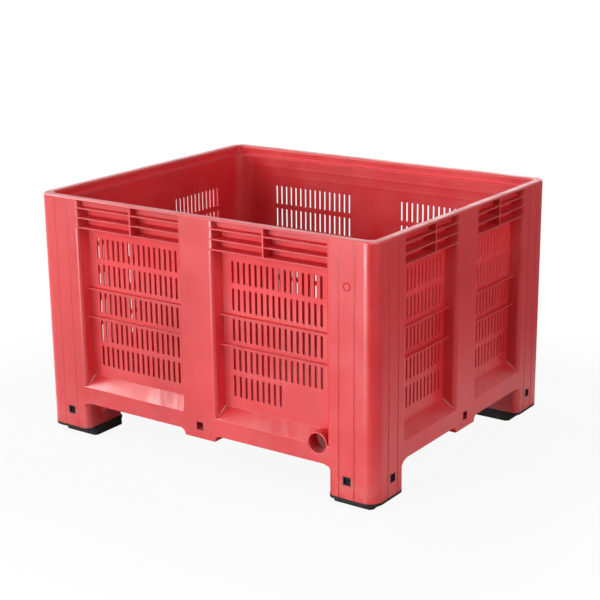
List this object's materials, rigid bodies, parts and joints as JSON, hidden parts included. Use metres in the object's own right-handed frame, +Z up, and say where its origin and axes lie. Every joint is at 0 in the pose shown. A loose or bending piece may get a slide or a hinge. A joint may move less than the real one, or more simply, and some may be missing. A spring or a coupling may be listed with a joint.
{
  "type": "ventilated transport tub",
  "caption": "Open rectangular plastic bulk tub with slotted ribbed walls, hollow corner posts, fork entry on all sides, a drain and clipped-in dark foot pads.",
  "frame": {"origin": "on the ground, under the middle of the tub", "axes": "+X along the long sides, towards the end with the drain; +Y from the drain's side to the back; +Z up"},
  "size_m": [1.2, 1, 0.76],
  "materials": {
    "tub_plastic": "satin moulded",
    "pad_plastic": "matte moulded",
    "plug_plastic": "matte moulded"
  },
  "bodies": {
    "root": {"tub_body": "tub_plastic", "foot_pad_front_left": "pad_plastic", "lock_plug_front_left_side": "plug_plastic", "lock_plug_front_left_end": "plug_plastic", "foot_pad_front_right": "pad_plastic", "lock_plug_front_right_side": "plug_plastic", "lock_plug_front_right_end": "plug_plastic", "foot_pad_back_right": "pad_plastic", "lock_plug_back_right_side": "plug_plastic", "lock_plug_back_right_end": "plug_plastic", "foot_pad_back_left": "pad_plastic", "lock_plug_back_left_side": "plug_plastic", "lock_plug_back_left_end": "plug_plastic"}
  },
  "joints": []
}
